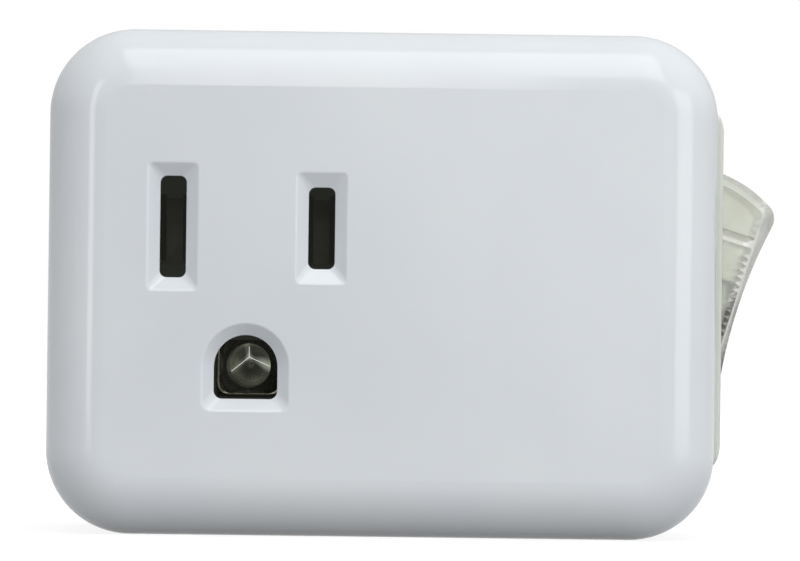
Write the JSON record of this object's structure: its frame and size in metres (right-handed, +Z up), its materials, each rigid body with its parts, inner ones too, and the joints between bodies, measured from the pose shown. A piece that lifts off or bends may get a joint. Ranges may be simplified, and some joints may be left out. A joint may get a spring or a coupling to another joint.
{
  "type": "switched outlet tap",
  "caption": "White box that plugs into a grounded wall outlet, with a grounded outlet on its front and a clear lit-type rocker switch on its right side.",
  "frame": {"origin": "on the rear face, midway between the two plug blades", "axes": "+X right seen from the front, +Y back toward the wall outlet, +Z up"},
  "size_m": [0.0631, 0.0491, 0.0435],
  "materials": {
    "white_shell": "glossy moulded",
    "black_block": "moulded phenolic",
    "zinc_steel": "zinc plated",
    "brass": "rolled strip",
    "nickel_plate": "nickel plated",
    "off_white_nylon": "satin moulded",
    "clear_rocker": "clear, slightly green, moulded",
    "spring_steel": "drawn wire",
    "silver": "pressed silver",
    "lamp_glass": "clear",
    "nickel_wire": "drawn wire",
    "resistor_body": "satin lacquer",
    "black_insulation": "smooth vinyl",
    "white_insulation": "smooth vinyl"
  },
  "bodies": {
    "case": {"front_shell": "white_shell", "rear_cover": "white_shell", "case_screws": "zinc_steel", "outlet_block": "black_block", "contact_retainer": "black_block", "retainer_screws": "zinc_steel", "neutral_contact": "brass", "hot_contact": "brass", "ground_contact": "nickel_plate", "neutral_blade": "brass", "hot_blade": "brass", "ground_pin": "nickel_plate", "blade_rivets": "brass", "line_lug": "brass", "switch_body": "off_white_nylon", "line_terminal": "brass", "load_terminal": "brass", "lamp_terminal": "brass", "fixed_contact_button": "silver", "neon_lamp": "lamp_glass", "lamp_electrodes": "nickel_wire", "lamp_resistor": "resistor_body", "lamp_leads": "nickel_wire", "line_wire": "black_insulation", "load_wire": "black_insulation", "neutral_wire": "white_insulation"},
    "rocker": {"rocker": "clear_rocker", "plunger_spring": "spring_steel"},
    "plunger": {"plunger": "off_white_nylon"},
    "see_saw": {"moving_contact": "brass", "moving_contact_button": "silver"}
  },
  "joints": [
    {"name": "rocker_tilt", "type": "hinge", "parent": "case", "child": "rocker", "pos_m": [0.03749, -0.01325, -0.0047], "axis": [0, -1, 0], "range_deg": [0, 34.5]},
    {"name": "plunger_slide", "type": "slide", "parent": "rocker", "child": "plunger", "axis": [0.955, 0, -0.2965], "range_m": [0, 0.0005], "stiffness_N_per_m": 200, "springref_m": -0.002, "deforming": ["plunger_spring"]},
    {"name": "contact_see_saw", "type": "hinge", "parent": "case", "child": "see_saw", "pos_m": [0.03019, -0.01325, -0.0047], "axis": [0, -1, 0], "range_deg": [-14, 0]}
  ],
  "couplings": [
    {"joint": "contact_see_saw", "follows": "rocker_tilt", "ratio": -0.4058}
  ]
}
